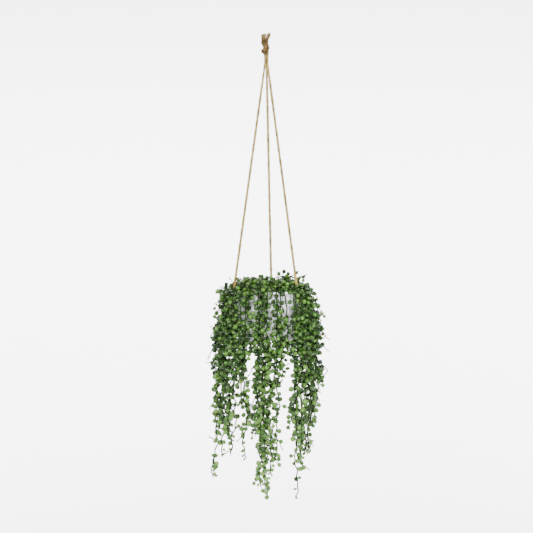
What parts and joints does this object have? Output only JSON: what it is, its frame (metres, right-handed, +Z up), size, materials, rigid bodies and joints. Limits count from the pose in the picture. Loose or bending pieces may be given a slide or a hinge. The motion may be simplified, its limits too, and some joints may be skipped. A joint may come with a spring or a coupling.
{
  "type": "potted string of teardrops",
  "caption": "Round white pot hung on jute cords from a knotted loop, with trailing stems of teardrop leaves over its rim.",
  "frame": {"origin": "the inner crown of the hanging loop, where a hook bears", "axes": "+Z up along the plumb line, front at -Y, +X to the right of someone who faces the front"},
  "size_m": [0.244, 0.2398, 1.0152],
  "materials": {
    "pot": "smooth white glaze",
    "soil": "dark potting mix with fine bark, matt and crumbly",
    "jute_cord": "twisted pale jute",
    "jute_knot": "twisted jute, browner where it is knotted",
    "leafy_stem": "living tissue: plump satin leaves on thin matt stems"
  },
  "bodies": {
    "root": {"cord_back": "jute_cord", "cord_left": "jute_cord", "cord_right": "jute_cord", "hanging_knot": "jute_knot", "pot": "pot", "soil": "soil", "vine_a_01": "leafy_stem", "vine_a_02": "leafy_stem", "vine_a_03": "leafy_stem", "vine_a_04": "leafy_stem", "vine_a_05": "leafy_stem", "vine_a_06": "leafy_stem", "vine_a_07": "leafy_stem", "vine_a_08": "leafy_stem", "vine_a_09": "leafy_stem", "vine_a_10": "leafy_stem", "vine_a_11": "leafy_stem", "vine_a_12": "leafy_stem", "vine_a_13": "leafy_stem", "vine_a_14": "leafy_stem", "vine_a_15": "leafy_stem", "vine_b_01": "leafy_stem", "vine_b_02": "leafy_stem", "vine_b_03": "leafy_stem", "vine_b_04": "leafy_stem", "vine_b_05": "leafy_stem", "vine_b_06": "leafy_stem", "vine_b_07": "leafy_stem", "vine_b_08": "leafy_stem", "vine_b_09": "leafy_stem", "vine_b_10": "leafy_stem", "vine_b_11": "leafy_stem", "vine_b_12": "leafy_stem", "vine_b_13": "leafy_stem", "vine_b_14": "leafy_stem", "vine_b_15": "leafy_stem", "vine_c_01": "leafy_stem", "vine_c_02": "leafy_stem", "vine_c_03": "leafy_stem", "vine_c_04": "leafy_stem", "vine_c_05": "leafy_stem", "vine_c_06": "leafy_stem", "vine_c_07": "leafy_stem", "vine_c_08": "leafy_stem", "vine_c_09": "leafy_stem", "vine_c_10": "leafy_stem", "vine_c_11": "leafy_stem", "vine_c_12": "leafy_stem", "vine_c_13": "leafy_stem", "vine_c_14": "leafy_stem", "vine_c_15": "leafy_stem", "vine_d_01": "leafy_stem", "vine_d_02": "leafy_stem", "vine_d_03": "leafy_stem", "vine_d_04": "leafy_stem", "vine_d_05": "leafy_stem", "vine_d_06": "leafy_stem", "vine_d_07": "leafy_stem"}
  },
  "joints": []
}
